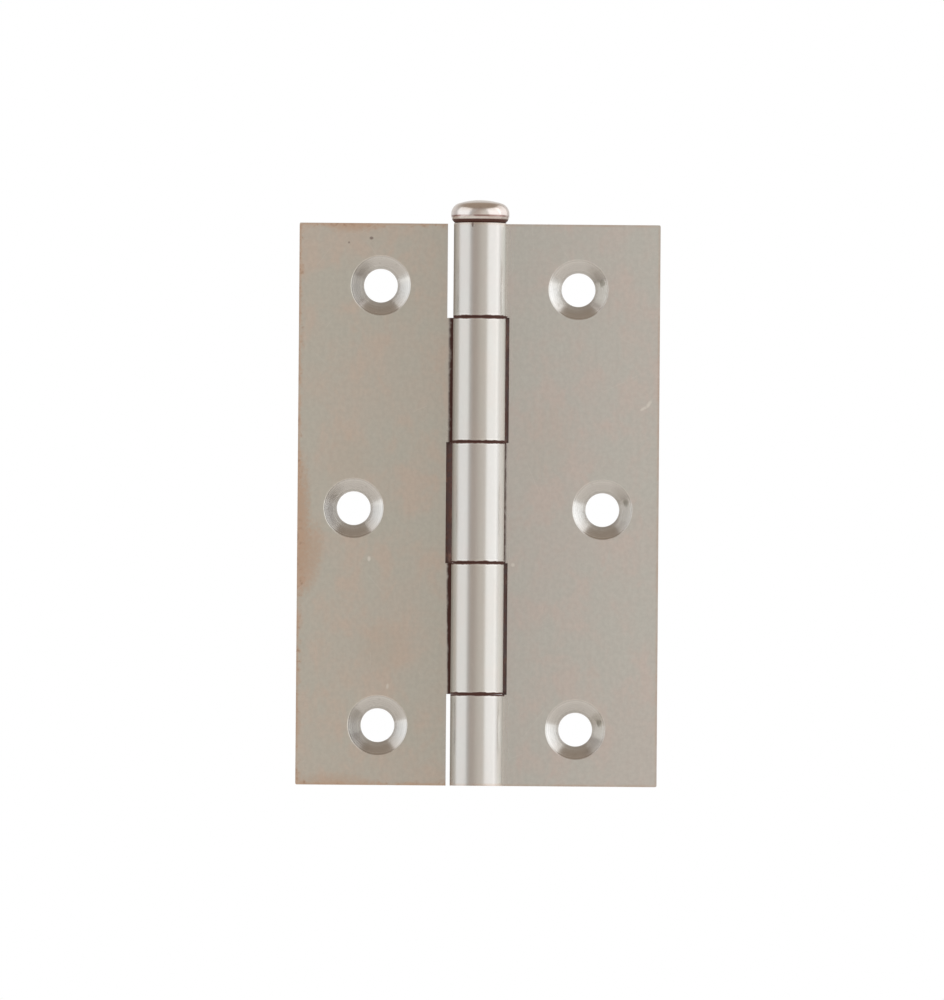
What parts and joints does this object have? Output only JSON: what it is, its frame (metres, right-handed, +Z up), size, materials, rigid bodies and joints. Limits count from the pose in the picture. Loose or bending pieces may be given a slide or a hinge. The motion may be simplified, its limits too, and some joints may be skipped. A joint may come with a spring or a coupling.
{
  "type": "butt hinge",
  "caption": "Narrow loose-pin steel butt hinge for a light door, with rolled knuckles, staggered countersunk screw holes and a button-headed pin that lifts out.",
  "frame": {"origin": "on the pin's axis at the bottom end of the barrel", "axes": "+Z up the pin towards its head; -Y out of the countersunk fronts of both leaves, so +Y is the side that is screwed down; +X from the pin towards the frame leaf's outer edge"},
  "size_m": [0.0482, 0.0078, 0.0781],
  "materials": {
    "leaf_steel": "bare mild steel, satin, lightly tarnished, with faint rust along the cut edges",
    "pin_steel": "bare cold-formed steel wire, satin"
  },
  "bodies": {
    "frame_leaf": {"frame_leaf": "leaf_steel"},
    "door_leaf": {"door_leaf": "leaf_steel"},
    "loose_pin": {"loose_pin": "pin_steel"}
  },
  "joints": [
    {"name": "door_leaf_swing", "type": "hinge", "parent": "frame_leaf", "child": "door_leaf", "pos_m": [0, 0, 0.0375], "axis": [0, 0, 1], "range_deg": [-85, 180]},
    {"name": "pin_lift", "type": "slide", "parent": "frame_leaf", "child": "loose_pin", "axis": [0, 0, 1], "range_m": [0, 0.075]}
  ]
}
